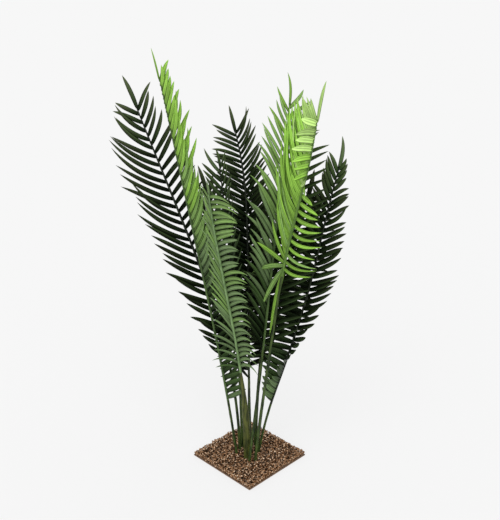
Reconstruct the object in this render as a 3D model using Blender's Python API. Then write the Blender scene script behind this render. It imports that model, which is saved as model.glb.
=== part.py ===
"""Artificial parlour palm on a square base of bark chips.

Twelve moulded fronds stand in one tight clump. Each has a bare stem that stands on the chips,
and above it a frond: a rib with two rows of leaflets, fused into one blade.
X and Y follow the sides of the base, Z is up, and the origin is the middle of its underside.
Lengths are in metres and angles in degrees. A bearing turns from +X towards +Y.
"""

import math
import random
from dataclasses import dataclass

import bmesh
import bpy
from mathutils import Vector
from mathutils.bvhtree import BVHTree

# Base
BASE_SIDE = 0.240
BOARD_THICK = 0.003
CHIP_LAYER = 0.011
CHIP_RISE = 0.003
CHIP_CELLS = 10
CLUMP_RADIUS = 0.052
GAP = 0.0003
TINY = 0.00001

# Stems and ribs
STEM_SIDES = 6
STEM_RINGS = 5
STEM_FOOT_RADIUS = 0.0052
STEM_WAIST = 0.9
RIB_SIDES = 4
RIB_RINGS = 9
RIB_RADIUS = 0.0036
RIB_END_RADIUS = 0.0026
CURVE_STEPS = 80

# Leaflets
SECTIONS = ((0.0, 0.40, 0.0012), (0.42, 1.0, 0.0020))
FIRST_LEAFLET = 0.012
END_OVERLAP = 0.006
ANGLE_SPREAD = 4.0
LIFT_SPREAD = 6.0
LENGTH_SPREAD = 0.07
DROOP_SPREAD = 0.05
CLEARANCE = 0.0005
SHORTER = (1.0, 0.8, 0.6, 0.42)
OTHER_LIFTS = (0, 8, -8, 16, -16, 24, -24)


@dataclass
class Row:
    """The leaflets on one side of a rib. A list of values runs evenly from the first leaflet to the last."""

    count: int
    width: tuple     # across the widest place of a leaflet
    length: tuple
    spread: tuple    # angle between rib and leaflet
    lift: tuple      # angle that the row folds up from flat
    curl: tuple      # bend of a leaflet towards the tip of the frond
    droop: tuple     # bend of a leaflet towards the ground


@dataclass
class Frond:
    """How one frond stands. A list of values runs evenly from the foot, or the first leaflet, to the tip."""

    name: str
    tone: str
    foot: tuple      # distance from the middle of the clump, and bearing
    heading: tuple   # bearing of the lean
    lean: tuple      # angle from upright
    bow: float       # extra lean half way up
    length: float    # foot to the last leaflet
    bare: float      # foot to the first leaflet
    face: tuple      # bearing that the upper side looks to
    end: float       # length of the leaflet that ends the frond
    rows: tuple      # the two rows, left first for one who looks at the upper side
    foot_radius: float = STEM_FOOT_RADIUS


FRONDS = (
    Frond("far_left", "dark", (.032, 203), (255, 220, 185), (1.5, 28.1), 1.8, 1.087, .32,
          (-25, -50, -60), .095, (
        Row(31, (.0135, .0135), (.086, .122, .150, .156, .066), (44, 50, 52, 53, 46),
            (20, 12), (.12, .15, .30, .35, .20), (.02, .02)),
        Row(31, (.0135, .0135), (.080, .105, .120, .120, .080), (52, 54, 58, 60, 46),
            (20, 12), (.05, 0), (.02, .02))), .0046),
    Frond("tall_left", "lime", (.040, 237), (240, 242), (7.0, 10.2), 1.4, 1.147, .19, (55, 40, 33), .082, (
        Row(42, (.0160, .0120, .0115, .0125, .0130),
            (.065, .077, .086, .096, .100, .052), (72, 56, 47, 43, 34), (62, 60), (.05, .25, .40, .40, .25),
            (.02, .02)),
        Row(42, (.0160, .0120, .0115, .0125, .0130),
            (.065, .077, .086, .096, .100, .052), (72, 56, 47, 43, 34), (66, 66), (.05, .25, .40, .40, .25),
            (.02, .02))), .0042),
    Frond("front_left", "mid", (.029, 303), (255, 307), (0.2, 25.9), 1.0, .912, .30, (-75, -75), .050, (
        Row(32, (.0120, .0085, .0085), (.085, .105, .105, .085, .050),
            (58, 24, 17, 16, 24), (10, 10), (0, 0), (.50, .10, .04, .02, .02)),
        Row(34, (.0145, .0135, .0130), (.090, .096, .098, .096, .096, .090),
            (48, 50, 50, 50, 52, 60), (5, 0), (0, 0), (.60, .46, .34, .24, .22, .36))), .0115),
    Frond("front_right", "lime", (.048, 336), (55, 41, 27, 15, 2), (5.4, 6.6, 6.9, 7.4, 12.2, 14.4, 8.0), 0,
          1.050, .605, (-92, -85, -85, -95, -100), .106, (
        Row(49, (.0170, .0120, .0125, .0150, .0160, .0120),
            (.115, .125, .150, .168, .180, .185, .180, .165, .145, .125, .100, .050),
            (170, 38, 42, 46, 52, 56, 60, 62, 62, 60, 56, 36), (0, 0),
            (0, .45, .40, .50, .65, .70, .70, .65, .55, .40, .30, .15), (.85, .05) + (.02,) * 10),
        Row(20, (.0140, .0130, .0200, .0220),
            (.080, .078, .072, .055, .050, .054, .045), (120, 120, 114, 100, 90, 85, 70),
            (0, 0, 0, 15, 90, 125, 115), (.90, .95, .85, .50, .15, .05, .05),
            (0, 0, .05, .30, .35, .35, .20))), .0044),
    Frond("far_right", "dark", (.028, 37), (55, 46), (9, 18, 15, 10, 13), 0, .914, .17,
          (233, 272, 286, 295), .085, (
        Row(37, (.0180, .0165, .0155, .0120),
            (.050, .082, .115, .100, .065), (60, 94, 86, 50, 28), (75, 35, 20, 20, 20), (.08, .08),
            (.02, .12, .12, .02, .02)),
        Row(37, (.0180, .0145, .0145, .0120),
            (.048, .080, .108, .088, .036), (60, 64, 58, 52, 30), (80, 35, 10, 10, 10), (.10, .22, .16),
            (.02, .04, .06, .02))), .0040),
    Frond("centre_right", "mid", (.048, 314), (79, 93, 90), (8.2, 7.9), 0, 1.058, .36, (-55, -60), .085, (
        Row(32, (.0135, .0125, .0105, .0080), (.130, .160, .170, .135, .060),
            (34, 28, 28, 30, 30), (10, 10), (0, 0), (.20, .25, .22, .12, .02)),
        Row(28, (.0135, .0135, .0120), (.110, .140, .155, .142, .055),
            (58, 62, 62, 60, 40), (5, 5), (0, 0), (.02, .02))), .0044),
    Frond("back_middle", "dark", (.022, 140), (132, 135, 138, 142, 177), (2.3, 21.6), 0, .967, .43,
          (-50, -50), .080, (
        Row(34, (.0145, .0135, .0110), (.080, .100, .108, .098, .072), (62, 58, 52),
            (10, 10), (.05, .05), (0, .10)),
        Row(34, (.0145, .0125, .0095), (.080, .100, .105, .098, .080), (60, 56, 50),
            (10, 10), (.05, .30), (0, .02))), .0034),
    Frond("back_left", "dark", (.034, 175), (165, 168), (2.5, 13.2), 0, .875, .24, (-75, -75), .050, (
        Row(25, (.0150, .0110), (.058, .085, .100, .095, .070), (115, 62, 48, 42, 38), (30, 30),
            (.10, .10), (0, 0)),) * 2),
    Frond("back_right", "dark", (.030, 86), (72, 64), (6.0, 16.0), 0, .800, .30, (-45, -45), .085, (
        Row(22, (.0160, .0160), (.080, .125, .145, .120, .070), (92, 75, 55), (15, 15),
            (0, 0), (.10, .10)),
        Row(22, (.0160, .0160), (.050, .085, .112, .105, .070), (88, 75, 55), (15, 15),
            (0, 0), (.10, .10)))),
    Frond("rear_middle", "dark", (.036, 132), (142, 125), (11.7, 14.5), 0, .790, .23, (-35, -35), .085, (
        Row(22, (.0160, .0160), (.070, .095, .110, .090, .055), (65, 50, 38), (25, 25),
            (0, 0), (.10, .10)),) * 2),
    Frond("rear_right", "mid", (.038, 107), (120, 108), (6.0, 34.0), 0, .860, .32, (-65, -65), .085, (
        Row(19, (.0145, .0145), (.070, .100, .115, .095, .055), (66, 52, 38), (25, 25),
            (.10, .10), (.05, .05)),) * 2),
    Frond("rear_left", "dark", (.041, 155), (157, 165), (6.0, 32.0), 0, .800, .32, (-25, -25), .085, (
        Row(19, (.0150, .0150), (.070, .100, .115, .095, .055), (66, 52, 38), (25, 25),
            (.10, .10), (.05, .05)),) * 2),
)

# Colour, roughness
LOOKS = {
    "dark": ((0.020, 0.045, 0.018), 0.45),
    "mid": ((0.075, 0.170, 0.045), 0.45),
    "lime": ((0.200, 0.420, 0.050), 0.45),
    "stem": ((0.045, 0.085, 0.020), 0.50),
    "chips": ((0.180, 0.100, 0.060), 0.90),
    "board": ((0.050, 0.030, 0.020), 0.85),
}

CHIPS_UNDER = BOARD_THICK + GAP
CHIPS_TOP = BOARD_THICK + CHIP_LAYER
FOOT_LEVEL = CHIPS_TOP + GAP


def clear_scene():
    for thing in list(bpy.data.objects):
        bpy.data.objects.remove(thing)


def material(look):
    mat = bpy.data.materials.get(look)
    if mat is None:
        mat = bpy.data.materials.new(look)
        mat.use_nodes = True
        colour, roughness = LOOKS[look]
        shader = mat.node_tree.nodes["Principled BSDF"]
        shader.inputs["Base Color"].default_value = (*colour, 1.0)
        shader.inputs["Roughness"].default_value = roughness
        shader.inputs["Metallic"].default_value = 0.0
    return mat


def new_object(name, mesh, look):
    thing = bpy.data.objects.new(name, mesh)
    mesh.materials.clear()
    mesh.materials.append(material(look))
    bpy.context.collection.objects.link(thing)
    return thing


def mesh_from(name, points, faces):
    mesh = bpy.data.meshes.new(name)
    mesh.from_pydata(points, [], faces)
    mesh.update()
    return mesh


def along(stops, share):
    """The value at a share of the way through evenly spaced stops."""
    place = share * (len(stops) - 1)
    step = min(int(place), len(stops) - 2)
    return stops[step] + (stops[step + 1] - stops[step]) * (place - step)


def towards(bearing):
    return Vector((math.cos(math.radians(bearing)), math.sin(math.radians(bearing)), 0.0))


# Base board and chips


def make_board():
    bm = bmesh.new()
    bmesh.ops.create_cube(bm, size=1.0)
    bmesh.ops.scale(bm, vec=(BASE_SIDE, BASE_SIDE, BOARD_THICK), verts=bm.verts)
    bmesh.ops.translate(bm, vec=(0, 0, BOARD_THICK / 2), verts=bm.verts)
    mesh = bpy.data.meshes.new("base_board")
    bm.to_mesh(mesh)
    bm.free()
    return new_object("base_board", mesh, "board")


def make_chips():
    """The layer of chips as one slab with an uneven top, level where the stems stand."""
    draw = random.Random(3)
    bm = bmesh.new()
    half = BASE_SIDE / 2
    bmesh.ops.create_grid(bm, x_segments=CHIP_CELLS, y_segments=CHIP_CELLS, size=half)
    for vert in bm.verts:
        edge = max(abs(vert.co.x), abs(vert.co.y)) > half - TINY
        uneven = draw.uniform(-CHIP_RISE, 0.0) if edge else draw.uniform(-CHIP_RISE, CHIP_RISE)
        clump = vert.co.xy.length < CLUMP_RADIUS + BASE_SIDE / CHIP_CELLS
        vert.co.z = CHIPS_TOP + (0.0 if clump else uneven)
    rim = bmesh.ops.extrude_face_region(bm, geom=bm.faces[:])
    for vert in (v for v in rim["geom"] if isinstance(v, bmesh.types.BMVert)):
        vert.co.z = CHIPS_UNDER
    bmesh.ops.recalc_face_normals(bm, faces=bm.faces)
    mesh = bpy.data.meshes.new("bark_chips")
    bm.to_mesh(mesh)
    bm.free()
    return new_object("bark_chips", mesh, "chips")


# The line that a stem and its rib follow


class Line:
    """The middle line of a frond from its foot up, which leans and turns as the frond's lists say."""

    def __init__(self, frond):
        self.length = frond.length
        at = towards(frond.foot[1]) * frond.foot[0]
        at.z = FOOT_LEVEL
        self.points, self.ways = [at], []
        for step in range(CURVE_STEPS):
            share = (step + 0.5) / CURVE_STEPS
            lean = math.radians(along(frond.lean, share) + frond.bow * math.sin(math.pi * share))
            level = towards(along(frond.heading, share))
            way = level * math.sin(lean) + Vector((0, 0, math.cos(lean)))
            self.ways.append(way)
            self.points.append(self.points[-1] + way * frond.length / CURVE_STEPS)
        self.ways.append(self.ways[-1])

    def at(self, distance):
        """The point and the direction at a distance from the foot."""
        place = min(max(distance / self.length, 0.0), 1.0) * CURVE_STEPS
        step = min(int(place), CURVE_STEPS - 1)
        return self.points[step].lerp(self.points[step + 1], place - step), self.ways[step]


def tube(name, rings, sides):
    """A closed tube through rings, each a middle, two directions across and a radius."""
    points, faces = [], []
    for middle, across, other, radius in rings:
        for side in range(sides):
            turn = 2 * math.pi * (side + 0.5) / sides
            points.append(middle + (across * math.cos(turn) + other * math.sin(turn)) * radius)
    for ring in range(len(rings) - 1):
        for side in range(sides):
            a, b = ring * sides + side, ring * sides + (side + 1) % sides
            faces.append((a, b, b + sides, a + sides))
    faces.append(tuple(reversed(range(sides))))
    faces.append(tuple(range(len(points) - sides, len(points))))
    return mesh_from(name, points, faces)


def make_stem(frond, line):
    """The bare stem, cut level where it stands on the chips."""
    radii = (frond.foot_radius, frond.foot_radius * STEM_WAIST, RIB_RADIUS)
    rings = []
    for ring in range(STEM_RINGS + 1):
        share = ring / STEM_RINGS
        middle, way = line.at(frond.bare * share)
        way = way if ring else Vector((0, 0, 1))
        across = Vector((0, 1, 0)).cross(way).normalized()
        rings.append((middle, across, way.cross(across), along(radii, share)))
    return tube("stem_" + frond.name, rings, STEM_SIDES)


def make_rib(frond, line):
    """The rib that the leaflets grow from, square in section with its sides to the two rows."""
    rings = []
    for ring in range(RIB_RINGS + 1):
        share = ring / RIB_RINGS
        middle, way = line.at(along((frond.bare + GAP, frond.length), share))
        upper = face_way(frond, way, share)
        rings.append((middle, upper.cross(way), upper, along((RIB_RADIUS, RIB_END_RADIUS), share)))
    return tube("frond_" + frond.name, rings, RIB_SIDES)


# Leaflets


def face_way(frond, way, share):
    """The direction that the frond's upper side looks to, square to its rib."""
    look = towards(along(frond.face, share))
    return (look - way * way.dot(look)).normalized()


@dataclass
class Leaflet:
    root: Vector
    way: Vector      # direction at the root
    bend: Vector     # how far the tip is carried off that direction, for a length of 1
    across: Vector
    length: float
    width: float

    def solid(self, grow=0.0):
        """A blade with a flat top and a keel below, thicker all round by grow."""
        points = []
        under = self.across.cross(self.way).normalized()
        for share, wide, deep in SECTIONS:
            middle = self.root + (self.way * share + self.bend * share * share) * self.length
            side = self.across * (self.width * wide / 2 + grow)
            keel = under * (deep + grow)
            top = middle - under * grow
            points += [top - side, top + side, middle + keel]
        points.append(self.root + (self.way + self.bend) * self.length)
        last = len(points) - 1
        faces = [(0, 1, 2)]
        for section in range(len(SECTIONS) - 1):
            for a, b in ((0, 1), (1, 2), (2, 0)):
                low, high = section * 3, section * 3 + 3
                faces.append((low + b, low + a, high + a, high + b))
        faces += [(last - 2, last - 3, last), (last - 1, last - 2, last), (last - 3, last - 1, last)]
        return points, faces


def leaflet_at(frond, line, share, side, draw):
    """One leaflet of a row, and the same one folded up by other angles or shorter."""
    root, way = line.at(along((frond.bare + FIRST_LEAFLET, frond.length), share))
    row = frond.rows[0 if side < 0 else 1]
    upper = face_way(frond, way, share)
    spread = math.radians(along(row.spread, share) + draw.uniform(-ANGLE_SPREAD, ANGLE_SPREAD))
    lift = along(row.lift, share) + draw.uniform(-LIFT_SPREAD, LIFT_SPREAD)
    length = along(row.length, share) * draw.uniform(1 - LENGTH_SPREAD, 1 + LENGTH_SPREAD)
    droop = along(row.droop, share) + draw.uniform(-DROOP_SPREAD, DROOP_SPREAD)
    choices = []
    for shorter in SHORTER:
        for other in OTHER_LIFTS:
            angle = math.radians(lift + other)
            out = way.cross(upper) * side * math.cos(angle) + upper * math.sin(angle)
            start = way * math.cos(spread) + out * math.sin(spread)
            aside = way - start * way.dot(start)
            bend = aside * along(row.curl, share) - Vector((0, 0, droop))
            across = aside.normalized() * side
            choices.append(Leaflet(root, start, bend, across, length * shorter, along(row.width, share)))
    return choices


def end_leaflet(frond, line):
    """The leaflet that carries on from the rib, and the same one shorter."""
    root, way = line.at(frond.length - END_OVERLAP)
    across = face_way(frond, way, 1.0).cross(way).normalized()
    straight = Vector((0, 0, 0))
    width = frond.rows[0].width[-1]
    return [Leaflet(root, way, straight, across, frond.end * shorter, width) for shorter in SHORTER]


def tree_of(points, faces):
    return BVHTree.FromPolygons(points, faces)


def tree_of_mesh(mesh):
    return tree_of([v.co for v in mesh.vertices], [tuple(p.vertices) for p in mesh.polygons])


def first_clear(choices, others):
    """The first choice that touches nothing of another frond, or None."""
    for leaflet in choices:
        tree = tree_of(*leaflet.solid(CLEARANCE))
        if not any(tree.overlap(other) for other in others):
            return leaflet
    return None


def join(name, rib, leaflets, look):
    """One closed blade from a rib and its leaflets."""
    body = new_object(name, rib, look)
    group = bpy.data.collections.new(name + "_leaflets")
    for leaflet in leaflets:
        part = bpy.data.objects.new("leaflet", mesh_from("leaflet", *leaflet.solid()))
        group.objects.link(part)
    bpy.context.scene.collection.children.link(group)
    union = body.modifiers.new("Join", "BOOLEAN")
    union.operation = "UNION"
    union.operand_type = "COLLECTION"
    union.collection = group
    union.solver = "MANIFOLD"
    bpy.context.view_layer.update()
    shape = body.evaluated_get(bpy.context.evaluated_depsgraph_get())
    joined = bpy.data.meshes.new_from_object(shape)
    body.modifiers.clear()
    body.data = joined
    joined.materials.clear()
    joined.materials.append(material(look))
    for part in list(group.objects):
        bpy.data.objects.remove(part)
    bpy.data.collections.remove(group)
    return body


def make_palm():
    lines = [Line(frond) for frond in FRONDS]
    stems, ribs, trees = [], [], []
    for frond, line in zip(FRONDS, lines):
        stem, rib = make_stem(frond, line), make_rib(frond, line)
        stems.append(stem)
        ribs.append(rib)
        trees.append([tree_of_mesh(stem), tree_of_mesh(rib)])
        new_object(stem.name, stem, "stem")
    for index, (frond, line) in enumerate(zip(FRONDS, lines)):
        draw = random.Random(index)
        others = [tree for other, group in enumerate(trees) if other != index for tree in group]
        others.append(trees[index][0])
        leaflets = [first_clear(end_leaflet(frond, line), others)]
        for side, row in zip((-1, 1), frond.rows):
            for step in range(row.count):
                share = (step + (0.5 if side > 0 else 0.0)) / row.count
                leaflets.append(first_clear(leaflet_at(frond, line, share, side, draw), others))
        leaflets = [leaflet for leaflet in leaflets if leaflet]
        body = join("frond_" + frond.name, ribs[index], leaflets, frond.tone)
        trees[index].append(tree_of_mesh(body.data))


clear_scene()
make_board()
make_chips()
make_palm()
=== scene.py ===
# %% [markdown]
# # Artificial parlour palm
#
# The model is a moulded palm, about as tall as a child, that stands on a square board covered with bark
# chips. Twelve fronds rise from one tight clump. Each has a bare stem, then a rib with a row of leaflets
# on either side.
#
# The solids of the packed model give the true places. They are coarse on purpose, so this file grows fine
# leaflets, smooth ribs and single chips in the same places, and gives each of them its finish. Lengths
# are in metres, angles in degrees, Z is up, and the origin is the middle of the underside of the base.

# %% Load the packed model
import math
import random
from dataclasses import dataclass

import bmesh
import bpy
from mathutils import Euler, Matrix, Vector


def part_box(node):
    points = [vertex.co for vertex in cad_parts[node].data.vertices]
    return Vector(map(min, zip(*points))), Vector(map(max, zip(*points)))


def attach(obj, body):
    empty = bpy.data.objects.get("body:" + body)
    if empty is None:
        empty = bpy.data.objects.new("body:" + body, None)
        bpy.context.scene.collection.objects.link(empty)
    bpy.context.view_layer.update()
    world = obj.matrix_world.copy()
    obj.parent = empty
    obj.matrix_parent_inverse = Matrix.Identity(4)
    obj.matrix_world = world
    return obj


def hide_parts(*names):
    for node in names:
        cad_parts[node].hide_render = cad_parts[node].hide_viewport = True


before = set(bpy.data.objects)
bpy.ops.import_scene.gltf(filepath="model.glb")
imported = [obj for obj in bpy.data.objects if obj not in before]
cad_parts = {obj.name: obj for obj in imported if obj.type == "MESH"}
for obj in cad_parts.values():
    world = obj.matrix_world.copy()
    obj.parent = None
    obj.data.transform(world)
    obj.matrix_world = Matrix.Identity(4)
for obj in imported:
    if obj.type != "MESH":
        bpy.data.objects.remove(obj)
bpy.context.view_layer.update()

# %% [markdown]
# ## Formulas made of nodes
#
# Both finishes and shapes are made with node trees below. A formula such as (1 - u) * width takes many
# small nodes, and wiring them one by one hides the formula. So a wire, the output of a node, gets
# Python's own operators: each adds the node that does the sum. A number goes through Math, and a vector
# or colour through Vector Math. The reflected forms, such as __rsub__, let a plain number stand first.

# %% Wires


class Wire:
    """The output of a node, ready for further sums."""

    def __init__(self, tree, output):
        self.tree, self.output = tree, output

    def pair(self, operation, first, second):
        """A sum of two values, each a wire, a number or, as three numbers, a vector."""
        vectors = [is_vector(first), is_vector(second)]
        if operation == "MULTIPLY" and sum(vectors) == 1:
            vector, number = (first, second) if vectors[0] else (second, first)
            sockets = {0: vector, "Scale": number}
            return self.tree.node("ShaderNodeVectorMath", {"operation": "SCALE"}, sockets)
        kind = "ShaderNodeVectorMath" if any(vectors) else "ShaderNodeMath"
        return self.tree.node(kind, {"operation": operation}, {0: first, 1: second})

    def __add__(self, other):
        return self.pair("ADD", self, other)

    __radd__ = __add__

    def __sub__(self, other):
        return self.pair("SUBTRACT", self, other)

    def __rsub__(self, other):
        return self.pair("SUBTRACT", other, self)

    def __mul__(self, other):
        return self.pair("MULTIPLY", self, other)

    __rmul__ = __mul__

    def __pow__(self, other):
        return self.pair("POWER", self, other)

    def function(self, operation, *others):
        """A sum on this wire, such as its absolute value, its sine, or the larger of it and another."""
        kind = "ShaderNodeVectorMath" if is_vector(self) else "ShaderNodeMath"
        return self.tree.node(kind, {"operation": operation}, dict(enumerate((self, *others))))

    def parts(self):
        """The X, Y and Z of a vector."""
        made = self.tree.node("ShaderNodeSeparateXYZ", {}, {0: self})
        return [Wire(self.tree, output) for output in made.output.node.outputs]


def is_vector(value):
    """True of a vector or colour, whether it is a wire or three numbers."""
    if isinstance(value, Wire):
        return value.output.type in ("VECTOR", "RGBA")
    return isinstance(value, tuple)


print("mask * 2 calls", Wire.__mul__.__name__, "and 1 - mask calls", Wire.__rsub__.__name__)

# %% [markdown]
# A tree has one method that adds any node. Its settings, such as an operation, are set first, and then
# each socket gets a number or a wire. The other methods only save typing for the nodes that come up most.

# %% Trees


class Tree:
    """A node tree that is built with one method."""

    def __init__(self, made):
        self.made = made

    def node(self, kind, settings, sockets, out=0):
        node = self.made.nodes.new(kind)
        for name, value in settings.items():
            if name == "stops":
                set_stops(node.color_ramp.elements, value)
            else:
                setattr(node, name, value)
        for socket, value in sockets.items():
            if isinstance(value, Wire):
                self.made.links.new(value.output, node.inputs[socket])
            else:
                node.inputs[socket].default_value = value
        return Wire(self, node.outputs[out])

    def mix(self, factor, first, second):
        """A colour between two."""
        return self.node("ShaderNodeMix", {"data_type": "RGBA"}, {0: factor, 6: first, 7: second}, out=2)

    def ramp(self, stops, factor):
        """A colour picked from a row of stops."""
        return self.node("ShaderNodeValToRGB", {"stops": stops}, {0: factor})

    def spread(self, value, low, high, first, last, **settings):
        """A value between low and high, brought between first and last, and kept within them."""
        return self.node("ShaderNodeMapRange", settings, {0: value, 1: low, 2: high, 3: first, 4: last})

    def carried(self, name):
        """A number that each point of the mesh carries, as a shader reads it."""
        return self.node("ShaderNodeAttribute", {"attribute_name": name}, {}, out=2)


def set_stops(elements, stops):
    """Gives a colour ramp its stops, each a place and a colour."""
    while len(elements) > len(stops):
        elements.remove(elements[-1])
    while len(elements) < len(stops):
        elements.new(1.0)
    for element, (place, colour) in zip(elements, stops):
        element.position, element.color = place, (*colour, 1.0)


print("a tree answers to:", [name for name in vars(Tree) if not name.startswith("__")])

# %% [markdown]
# ## Finishes
#
# A finish is a Principled shader. What is the same all over is set on the shader's own sockets, and only
# what changes over the surface arrives through a wire. Noise reads Object coordinates. Every finished
# piece sits unturned at the origin, so these are the same for all of them, and a pattern stays where it
# is.

# %% Helpers for finishes


def finish(name, **constants):
    """A new material, its tree and its shader. The constants are sockets of the shader."""
    material = bpy.data.materials.new(name)
    material.use_nodes = True
    shader = material.node_tree.nodes["Principled BSDF"]
    for socket, value in constants.items():
        shader.inputs[socket.replace("_", " ")].default_value = value
    return material, Tree(material.node_tree), shader


def feed(tree, shader, socket, wire):
    tree.made.links.new(wire.output, shader.inputs[socket])


def object_place(tree):
    return tree.node("ShaderNodeTexCoord", {}, {}, out="Object")


def object_noise(tree, scale, detail=2.0, stretch=(1.0, 1.0, 1.0)):
    """Noise that is fixed to the piece, drawn out along an axis by a stretch below 1."""
    place = object_place(tree) * stretch
    return tree.node("ShaderNodeTexNoise", {}, {"Vector": place, "Scale": scale, "Detail": detail})


def bump(tree, height, distance, strength=1.0):
    sockets = {"Height": height, "Distance": distance, "Strength": strength}
    return tree.node("ShaderNodeBump", {}, sockets)


print("helpers for finishes:", [helper.__name__ for helper in (finish, feed, object_noise, bump)])

# %% [markdown]
# ## Shapes from trees
#
# A shape tree starts from a few points or lines, each of which carries its own sizes, and makes the
# repeated pieces from them. Its result is turned into a plain mesh at once, so that nothing is left to be
# worked out later.

# %% Helpers for shapes


def shape_tree(name, inputs):
    """A Geometry Nodes group with named inputs: the tree, the wires of its inputs, and a way to end it."""
    group = bpy.data.node_groups.new(name, "GeometryNodeTree")
    group.interface.new_socket("Geometry", in_out="OUTPUT", socket_type="NodeSocketGeometry")
    group.interface.new_socket("Geometry", in_out="INPUT", socket_type="NodeSocketGeometry")
    for label, kind in inputs.items():
        group.interface.new_socket(label, in_out="INPUT", socket_type="NodeSocket" + kind)
    tree = Tree(group)
    start = tree.node("NodeGroupInput", {}, {})
    wires = {socket.name: Wire(tree, socket) for socket in start.output.node.outputs if socket.name}

    def end(geometry):
        geometry = tree.node("GeometryNodeRealizeInstances", {}, {0: geometry})
        geometry = tree.node("GeometryNodeSetMaterial", {}, {0: geometry, "Material": wires["Material"]})
        last = group.nodes.new("NodeGroupOutput")
        group.links.new(geometry.output, last.inputs[0])

    return tree, wires, end


def grow(name, start, tree, values):
    """Runs a shape tree on a start mesh, and gives the piece as a plain mesh at the origin."""
    piece = bpy.data.objects.new(name, start)
    bpy.context.collection.objects.link(piece)
    modifier = piece.modifiers.new("Shape", "NODES")
    modifier.node_group = tree.made
    for label, value in values.items():
        modifier[tree.made.interface.items_tree[label].identifier] = value
    shape = piece.evaluated_get(bpy.context.evaluated_depsgraph_get())
    mesh = bpy.data.meshes.new_from_object(shape)
    piece.modifiers.clear()
    piece.data = mesh
    mesh.name = name
    print(name, "has", len(mesh.polygons), "faces")
    return piece


def named(tree, name, kind="FLOAT"):
    """A value that each point carries, as a shape tree reads it."""
    return tree.node("GeometryNodeInputNamedAttribute", {"data_type": kind}, {"Name": name})


def store(tree, geometry, name, value, kind="FLOAT"):
    settings = {"data_type": kind, "domain": "POINT"}
    sockets = {0: geometry, "Name": name, "Value": value}
    return tree.node("GeometryNodeStoreNamedAttribute", settings, sockets)


def position(tree):
    return tree.node("GeometryNodeInputPosition", {}, {})


def point_mesh(name, points, edges=(), numbers=None, vectors=None):
    """A mesh of bare points and edges that carries numbers and vectors for each point."""
    mesh = bpy.data.meshes.new(name)
    mesh.from_pydata(points, edges, [])
    for label, values in (numbers or {}).items():
        mesh.attributes.new(label, "FLOAT", "POINT").data.foreach_set("value", values)
    for label, values in (vectors or {}).items():
        flat = [part for value in values for part in value]
        mesh.attributes.new(label, "FLOAT_VECTOR", "POINT").data.foreach_set("vector", flat)
    return mesh


print("helpers for shapes:", [helper.__name__ for helper in (shape_tree, grow, named, store, point_mesh)])

# %% [markdown]
# ## Camera
#
# The photograph looks along a diagonal of the base and slightly down. The camera's distance, height and
# dip were found from the corners of the base and the upright stems, so they are kept here as real lengths
# and angles. The picture is 520 pixels high, its longer side, and the lens follows from that.

# %% Camera
PHOTO_HEIGHT = 520
FOCAL_PIXELS = 790
SENSOR = 36.0
CAMERA_BEARING = 45.0
CAMERA_DISTANCE = 2.032
CAMERA_ASIDE = 0.0015
CAMERA_UP = 1.436
CAMERA_DIP = 21.38


def turned(x, y):
    """A point of the camera's own ground plan, x to its right and y away from it, in the model's frame."""
    turn = math.radians(CAMERA_BEARING)
    return x * math.cos(turn) - y * math.sin(turn), x * math.sin(turn) + y * math.cos(turn)


lens = bpy.data.cameras.new("camera")
lens.sensor_width = SENSOR
lens.lens = FOCAL_PIXELS / PHOTO_HEIGHT * SENSOR
camera = bpy.data.objects.new("camera", lens)
camera.location = (*turned(CAMERA_ASIDE, -CAMERA_DISTANCE), CAMERA_UP)
camera.rotation_euler = (math.radians(90.0 - CAMERA_DIP), 0.0, math.radians(CAMERA_BEARING))
bpy.context.collection.objects.link(camera)
bpy.context.scene.camera = camera
print("lens", round(lens.lens, 1), "mm at", [round(part, 3) for part in camera.location])

# %% [markdown]
# ## Floor
#
# The photograph is a studio picture on plain white. The floor is so wide that it fills the view. Its
# paleness is worked out from the light that falls on it, so that it comes out as the photograph's
# background. Most of that paleness is a glow of its own, which leaves only a faint shadow round the base,
# as in the photograph.

# %% Floor
FLOOR_SIDE = 80.0
FLOOR_DROP = 0.0004
BACKGROUND = 0.93
FLOOR_GLOW = 0.75
SURROUND = 0.85
SUN_STRENGTH = 1.4
SUN_HEIGHT = 42.0


def plane(name, side, level):
    bm = bmesh.new()
    bmesh.ops.create_grid(bm, x_segments=1, y_segments=1, size=side / 2)
    bmesh.ops.translate(bm, vec=(0, 0, level), verts=bm.verts)
    mesh = bpy.data.meshes.new(name)
    bm.to_mesh(mesh)
    bm.free()
    thing = bpy.data.objects.new(name, mesh)
    bpy.context.collection.objects.link(thing)
    return thing


received = SURROUND + SUN_STRENGTH * math.sin(math.radians(SUN_HEIGHT)) / math.pi
floor_shade = BACKGROUND / received
floor = plane("floor", FLOOR_SIDE, -FLOOR_DROP)
floor_paint, _, _ = finish(
    "floor_paint", Base_Color=(*(floor_shade * (1 - FLOOR_GLOW),) * 3, 1.0), Roughness=1.0,
    Specular_IOR_Level=0.0, Emission_Color=(1.0, 1.0, 1.0, 1.0), Emission_Strength=BACKGROUND * FLOOR_GLOW)
floor.data.materials.append(floor_paint)
print("the floor receives", round(received, 3), "and gives back", round(floor_shade, 3))

# %% [markdown]
# ## Light
#
# A pale surround lights the plant from all sides, and one large soft sun stands behind the camera, a
# little to one side. It is so soft that it draws no hard shadow between the leaflets.

# %% Light
SUN_ASIDE = -12.0
SUN_SOFTNESS = 70.0

world = bpy.data.worlds.new("surround")
world.use_nodes = True
world.node_tree.nodes["Background"].inputs["Color"].default_value = (SURROUND, SURROUND, SURROUND, 1.0)
bpy.context.scene.world = world

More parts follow.
